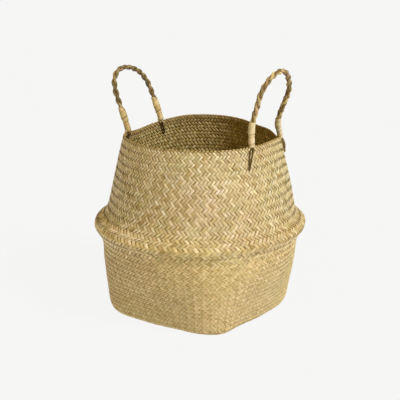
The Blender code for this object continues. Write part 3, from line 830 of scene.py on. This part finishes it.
# ties: height of the hole below the rim, half width, how far the loop stands off the wall,
# how far it slants sideways outside and inside, how far it goes down inside, and the cord's radius
TIES = {
    "right_front": (0.0330, 0.0029, 0.0000, -0.0125, -0.0020, 0.030, 0.00112),
    "right_back": (0.0235, 0.0030, 0.0026, 0.0030, 0.0, 0.021, 0.00160),
    "left_front": (0.0160, 0.0044, 0.0020, 0.0, 0.0100, 0.025, 0.00118),
    "left_back": (0.0225, 0.0004, 0.0, -0.0105, -0.0105, 0.0225, 0.00085),
}
LEAN = np.array([math.cos(SWAY_AZ), math.sin(SWAY_AZ), 0.0]) * SWAY


def rim_top(az):
    return RIM_Z + float(rim_dip(az, RIM_Z))


class Line:
    """A smooth line through points, read at an arc length."""

    def __init__(self, points, n=24):
        self.p = catmull(points, n)
        self.s = np.concatenate([[0], np.cumsum(np.linalg.norm(np.diff(self.p, axis=0), axis=1))])
        self.length = self.s[-1]

    def at(self, s):
        s = np.asarray(s, float)
        d0 = (self.p[1] - self.p[0]) / (self.s[1] - self.s[0])
        d1 = (self.p[-1] - self.p[-2]) / (self.s[-1] - self.s[-2])
        q = np.stack([np.interp(s, self.s, self.p[:, i]) for i in range(3)], -1)
        return q + np.minimum(s, 0)[..., None] * d0 + np.maximum(s - self.length, 0)[..., None] * d1

    def way(self, s):
        return unit(self.at(np.asarray(s) + 0.0006) - self.at(np.asarray(s) - 0.0006))


def frames(path, hint):
    """Two directions square to a path at each of its points, without twist."""
    T = unit(np.gradient(path, axis=0))
    a = np.empty_like(T)
    v = hint - T[0] * np.dot(hint, T[0])
    a[0] = v / np.linalg.norm(v)
    for i in range(1, len(T)):
        v = a[i - 1] - T[i] * np.dot(a[i - 1], T[i])
        a[i] = v / np.linalg.norm(v)
    return T, a, np.cross(T, a)


def twisted(bundle, path, radius, lobes, depth, pitch, tones, flat=1.0, hint=(0.2, 0.3, 0.9), per=5, phase=0.0, core=None, reach=1.0):
    """A cord of lobes blades laid round each other along a path. radius is a number or one for each point.
    core is the middle of the plait that it belongs to: what lies nearer to it than reach is painted darker, as shade
    deep in the plait."""
    path = np.asarray(path, float)
    m = len(path)
    T, a, b = frames(path, np.array(hint, float))
    s = np.concatenate([[0], np.cumsum(np.linalg.norm(np.diff(path, axis=0), axis=1))])
    c = lobes * per
    th = -PI2 * np.arange(c) / c                      # clockwise about the path, so that faces point out
    turn = PI2 * s / pitch + phase
    lob = np.abs(np.cos(0.5 * lobes * th))
    shape = 1 - depth + depth * np.power(lob, 0.6)
    ang = th[None, :] + turn[:, None]
    rad = (np.broadcast_to(radius, (m,))[:, None]) * shape[None, :]
    rad = rad * (1 + drift(1, m, 0.035, 7)[0])[:, None]
    x = np.cos(ang) * rad
    y = np.sin(ang) * rad * flat
    rings = path[:, None, :] + a[:, None, :] * x[..., None] + b[:, None, :] * y[..., None]
    which = ((np.arange(c) + per / 2) // per).astype(int) % lobes
    tone = np.asarray(tones)[which]                   # (c, 3)
    tone = tone[None, :, :] * (1 + drift(1, m, 0.08, 9)[0])[:, None, None]
    # painted shade in the grooves between the lobes; the material darkens them again through edge
    tone = tone * ((0.55 if core is None else 0.72) + (0.45 if core is None else 0.28) * np.power(lob, 0.7))[None, :, None]
    if core is not None:
        # painted shade deep in the plait, near its middle
        deep = np.linalg.norm(rings - core[:, None, :], axis=-1) / reach
        tone = tone * (0.16 + 0.84 * smooth(0.50, 0.98, deep))[..., None]
    across = (np.arange(c) / c * PI2 * np.mean(radius))[None, None, :] * np.ones((1, m, 1))
    edge = np.broadcast_to((1 - lob)[None, None, :], (1, m, c))
    bundle.add(rings[None], None, tone[None], s[None], across, RNG.uniform(0, 500, 1), edge)


def wound(bundle, core, radius, laps, hint, tint=(1, 1, 1)):
    """A post of blades along core, bound by one flat blade wound round and round it, each turn lapping the last."""
    m0 = len(core)
    twisted(bundle, core, radius - 0.0006, 6, 0.10, 0.30, PALE[[0, 1, 2, 3, 1, 0]] * np.array(tint), hint=hint, per=4)
    run = np.concatenate([[0], np.cumsum(np.linalg.norm(np.diff(core, axis=0), axis=1))])
    m = int(laps * 24)
    w = np.linspace(0.03, 0.97, m)
    at = w * run[-1]
    c0 = np.stack([np.interp(at, run, core[:, i]) for i in range(3)], -1)
    r0 = np.interp(at, run, np.broadcast_to(radius, (m0,)))
    T, a, b = frames(c0, np.array(hint, float))
    ang = PI2 * laps * w
    rad = a * np.cos(ang)[:, None] + b * np.sin(ang)[:, None]
    C = c0 + rad * (r0 - 0.0001 + 0.0002 * np.sin(ang * 0.37 + 1))[:, None]
    way = unit(np.gradient(C, axis=0))
    nrm = unit(rad + T * 0.3 * 0.0005 * laps / run[-1])
    sidev = unit(np.cross(nrm, way))
    ends = 1 - 0.6 * (1 - smooth(0, 0.03, w - 0.03)) - 0.6 * (1 - smooth(0, 0.03, 0.97 - w))
    lap = run[-1] / laps
    hw = 0.62 * lap * ends * (1 + drift(1, m, 0.05, 20)[0])
    al = np.concatenate([[0], np.cumsum(np.linalg.norm(np.diff(C, axis=0), axis=1))])
    tones = np.broadcast_to(PALE[1] * (1 + RNG.normal(0, 0.03)), (1, m, 3)) * (1 + drift(1, m, 0.08, 11))[..., None]
    warm = drift(1, m, 0.045, 16)
    tones = tones * np.stack([1 + 0.2 * warm, 1 - 0.8 * warm, 1 - warm], -1) * np.array(tint)
    bundle.ribbons(C[None], sidev[None], nrm[None], hw[None], np.full((1, m), 0.00018), tones, al[None], RNG.uniform(0, 500, 1), cup=0.35)


ROPE_TONES = np.array([(0.48, 0.41, 0.22), (0.62, 0.52, 0.27), (0.40, 0.36, 0.18), (0.70, 0.58, 0.33), (0.56, 0.41, 0.27), (0.34, 0.27, 0.13)])
PALE = np.array([(0.72, 0.57, 0.30), (0.76, 0.61, 0.33), (0.68, 0.52, 0.28), (0.74, 0.58, 0.30)])


STRAND_TINT = {"left": ((0.70, 0.88, 0.66), (0.34, 0.54, 0.34), (0.92, 0.94, 0.80)), "right": ((1.30, 1.15, 1.15), (0.85, 0.80, 0.70), (1.35, 1.35, 1.30))}


def handle(side, azimuth_deg, bow):
    az = math.radians(azimuth_deg)
    out = np.array([math.cos(az), math.sin(az), 0])
    along = np.array([-math.sin(az), math.cos(az), 0])
    half = abs(bow[0][0])
    chord = math.sqrt(FOOT_R ** 2 - half ** 2)
    feet = []
    for s in (bow[0][0], bow[-1][0]):
        p = out * chord + along * s
        a = math.atan2(p[1], p[0])
        feet.append((p + np.array([0, 0, rim_top(a) + FOOT_LIFT]) + LEAN, a))
    pts = []
    for i, (s, hh, o) in enumerate(bow):
        t = i / (len(bow) - 1)
        z0 = feet[0][0][2] * (1 - t) + feet[1][0][2] * t
        pts.append(out * (chord + o) + along * s + np.array([0, 0, z0 + hh]) + LEAN)
    line = Line(pts)
    total = line.length
    body = side + "_handle"

    # three strands, each a bundle of blades, plaited together
    s0, s1 = COLLAR_L - 0.006, total - COLLAR_L + 0.006
    turns = round((total - 2 * COLLAR_L - 2 * STRAND_GAP) / BRAID_PITCH) * (s1 - s0) / (total - 2 * COLLAR_L - 2 * STRAND_GAP)
    n = int((s1 - s0) / 0.0011)
    normal = unit(out * 0.97 - np.array([0, 0, 0.24]))
    for k, letter in enumerate("abc"):
        u = np.arange(n + 1) / n
        s = s0 + (s1 - s0) * u
        p, d = line.at(s), line.way(s)
        sv = unit(np.cross(d, normal))
        uv = unit(np.cross(sv, d))
        f = PI2 * (turns * u + k / 3 + 0.09)
        swell = 1 - 0.35 * (1 - smooth(0, 0.03, u)) - 0.35 * (1 - smooth(0, 0.03, 1 - u))
        path = p + sv * (BRAID_A * np.sin(f) * swell)[:, None] + uv * (BRAID_B * np.sin(2 * f) * swell)[:, None]
        bd = Bundle()
        tones = ROPE_TONES[RNG.choice(len(ROPE_TONES), 5)] * (1 + RNG.normal(0, 0.08, (5, 1))) * (0.5 + 0.5 * np.array(STRAND_TINT[side][k]))
        rad = STRAND_R * (1 + 0.05 * np.sin(2 * f + 0.6)) * (0.7 + 0.3 * swell)
        twisted(bd, path, rad, 5, 0.18, 0.085, tones, hint=tuple(uv[0]), per=6, core=p, reach=BRAID_A + STRAND_R)
        ob = bd.mesh("%s_rope_strand_%s" % (side, letter), ROPE, ratio=0.1)
        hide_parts("%s_handle_strand_%s" % (side, letter))
        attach(ob, body)

    # wound collars: the handle's own part, from the axis that it turns on up to the rope
    for label, end in (("front", 0), ("back", 1)):
        if side == "left":
            label = "back" if end == 0 else "front"
        t = np.concatenate([np.linspace(-0.115, 0.06, 9), np.linspace(0.09, 1.0, 34)])
        s = t * COLLAR_L if end == 0 else total - t * COLLAR_L
        ball = np.sqrt(np.clip(1 - (np.minimum(t, 0) / 0.125) ** 2, 0.02, 1))
        bulge = (0.10 if side == "left" else 0.02) * np.exp(-((t - 0.66) / 0.22) ** 2) + 0.03 * np.sin(9 * t + (1 if label == "front" else 4))
        radius = COLLAR_R * (0.93 + 0.05 * smooth(0.0, 0.6, t) + bulge) * ball - 0.0010 * smooth(0.90, 1.0, t)
        bd = Bundle()
        wound(bd, line.at(s), radius, 4.6, tuple(normal), (0.85, 0.81, 0.70) if side == "left" else (1, 1, 1))
        ob = bd.mesh("%s_%s_wound_collar" % (side, label), WRAP, ratio=0.2)
        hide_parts("%s_%s_collar" % (side, label))
        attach(ob, body)

    for end, (label, (foot, a)) in enumerate(zip(("front", "back"), feet if side == "right" else feet[::-1])):
        first = (label == "front") == (side == "right")
        rad = np.array([math.cos(a), math.sin(a), 0])
        tan = np.array([-math.sin(a), math.cos(a), 0])
        zt = rim_top(a) - 0.0004
        drop, wide, off, slant_out, slant_in, inside, thick = TIES[side + "_" + label]
        i = np.argsort(_curve[-400:, 1])

        def wall_r(z):
            return float(np.interp(z - float(rim_dip(a, z)), _curve[-400:, 1][i], _curve[-400:, 0][i]))

        def place(r, t, z):
            return rad * r + tan * t + np.array([0, 0, z]) + LEAN

        one = 1.0 if wide < 0.001 else 0.0              # a narrow tie's two turns lie one behind the other
        apart = max(thick, 0.62 * wide) if off > 0 and side == "left" else thick

        # tie cords: twice over the edge and through the wall, open like a drop outside
        def turn(way):
            pts = []
            for f, spread in ((1.0, 0.0), (0.93, 0.14), (0.80, 0.34), (0.60, 0.66), (0.38, 0.94), (0.18, 1.0), (0.05, 0.70)):
                lift = 0.0012 + thick + off * (1.0 if way > 0 else 0.05) * math.sin(math.pi * min(f * 1.15, 1.0)) ** 0.8
                pts.append(place(wall_r(zt - drop * f) + lift, way * wide * spread + slant_out * f ** 0.8, zt - drop * f))
            r0 = wall_r(zt - 0.001)
            pts.append(place(r0 + 0.0012, way * wide * 0.30, zt + 0.0024))
            pts.append(place(r0 - 0.0016, way * wide * 0.30, zt + 0.0024))
            for f in (0.06, 0.3, 0.6, 0.88):
                pts.append(place(wall_r(zt - inside * f) - 0.0030 - thick - (thick if way > 0 else -thick) * one, way * apart * (1 - 0.5 * f) * (1 - one) + slant_in * f, zt - inside * f))
            f = 0.5 * (inside + drop)
            pts.append(place(wall_r(zt - f) - 0.0024, way * 0.0006 + 0.5 * (slant_in + slant_out), zt - max(inside, drop) - 0.0004))
            return pts

        route = turn(1) + turn(-1)
        ln = Line(route + route[:1], 10)
        mm = int(ln.length / 0.0011)
        bd = Bundle()
        tones = np.array([(0.62, 0.50, 0.30), (0.50, 0.40, 0.26), (0.72, 0.58, 0.36)]) * {"right_back": 2.6, "right_front": 1.5}.get(side + "_" + label, 1.0)
        twisted(bd, ln.at(np.linspace(0, ln.length, mm)), thick, 3, 0.28, 0.0075, tones, hint=tuple(tan))
        ob = bd.mesh("%s_%s_tie_cord" % (side, label), CORD, ratio=0.02)
        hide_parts("%s_%s_tie" % (side, label))
        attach(ob, "mouth")

        # the lowest turns of the winding stay on the rim when the handle turns
        w = np.linspace(0, 1, 16)
        low = place(wall_r(zt) - 0.0002, 0.0, zt - 0.0006)
        d = line.way(0.002) if first else -line.way(total - 0.002)
        h = np.linalg.norm(foot - low)
        pts = np.array([low, low * 0.55 + foot * 0.45 + np.array([0, 0, 0.0002]), foot])
        core = Line(pts, 12)
        ball = np.sqrt(np.clip(1 - (np.maximum(w - 0.72, 0) / 0.30) ** 2, 0.02, 1))
        radius = (0.0036 + 0.0012 * smooth(0.0, 0.5, w)) * ball
        bd = Bundle()
        wound(bd, core.at(w * core.length), radius, 2.0, tuple(tan))
        ob = bd.mesh("%s_%s_rope_eye" % (side, label), WRAP, ratio=0.2)
        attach(ob, "mouth")


handle("left", LEFT_AZ, LEFT_BOW)
handle("right", RIGHT_AZ, RIGHT_BOW)

# ------------------------------------------------------------------ floor, light and camera
FLOOR_TONE, FLOOR_GLOW = 0.03, 0.890
WORLD, WORLD_TINT = 0.275, (1.0, 0.80, 0.32, 1)
KEY, FILL_LIGHT = 2.74, 0.71

me = bpy.data.meshes.new("studio_floor")
n = 24
size = 40.0
xs = np.linspace(-size, size, n + 1)
gx, gy = np.meshgrid(xs, xs)
vv = np.stack([gx.ravel(), gy.ravel(), np.zeros(gx.size)], -1)
idx = np.arange((n + 1) ** 2).reshape(n + 1, n + 1)
me.from_pydata(vv.tolist(), [], np.stack([idx[:-1, :-1], idx[:-1, 1:], idx[1:, 1:], idx[1:, :-1]], -1).reshape(-1, 4).tolist())
floor = bpy.data.objects.new("studio_floor", me)
bpy.context.scene.collection.objects.link(floor)
mat, nt = nodes_of("studio_floor")
o = nt.nodes.new("ShaderNodeOutputMaterial")
p = nt.nodes.new("ShaderNodeBsdfPrincipled")
p.inputs["Base Color"].default_value = (FLOOR_TONE, FLOOR_TONE, FLOOR_TONE, 1)
p.inputs["Roughness"].default_value = 0.9
p.inputs["Specular IOR Level"].default_value = 0.0
p.inputs["Emission Color"].default_value = (1, 1, 1, 1)
p.inputs["Emission Strength"].default_value = FLOOR_GLOW
nt.links.new(p.outputs[0], o.inputs[0])
me.materials.append(mat)

world = bpy.data.worlds.new("studio")
bpy.context.scene.world = world
world.use_nodes = True
bg = world.node_tree.nodes["Background"]
bg.inputs["Color"].default_value = WORLD_TINT
bg.inputs["Strength"].default_value = WORLD


def sun(name, azimuth_deg, elevation, strength, angle, colour=(1, 1, 1)):
    data = bpy.data.lights.new(name, "SUN")
    data.energy = strength
    data.angle = math.radians(angle)
    data.color = colour
    ob = bpy.data.objects.new(name, data)
    bpy.context.scene.collection.objects.link(ob)
    a, e = math.radians(azimuth_deg), math.radians(elevation)
    back = Vector((math.sin(a) * math.cos(e), -math.cos(a) * math.cos(e), math.sin(e)))
    ob.rotation_euler = back.to_track_quat("Z", "Y").to_euler()
    return ob


CAM_AZ, CAM_EL, CAM_D = 33.0, 17.1, 1.8
sun("key", CAM_AZ + 50, 43, KEY, 12, (0.985, 1.02, 1.13))
sun("fill", CAM_AZ - 24, 60, FILL_LIGHT, 70, (1.0, 0.80, 0.32))

cam = bpy.data.cameras.new("camera")
cam.lens = 97.44
cam.sensor_width = 36
cam.clip_end = 200
co = bpy.data.objects.new("camera", cam)
bpy.context.scene.collection.objects.link(co)
a, e = math.radians(CAM_AZ), math.radians(CAM_EL)
back = Vector((math.sin(a) * math.cos(e), -math.cos(a) * math.cos(e), math.sin(e)))
level = Vector((math.cos(a), math.sin(a), 0))
co.location = Vector((0, 0, 0.187)) - level * 0.0010 + back * CAM_D
co.rotation_euler = back.to_track_quat("Z", "Y").to_euler()
bpy.context.scene.camera = co
bpy.context.scene.view_settings.view_transform = "Standard"
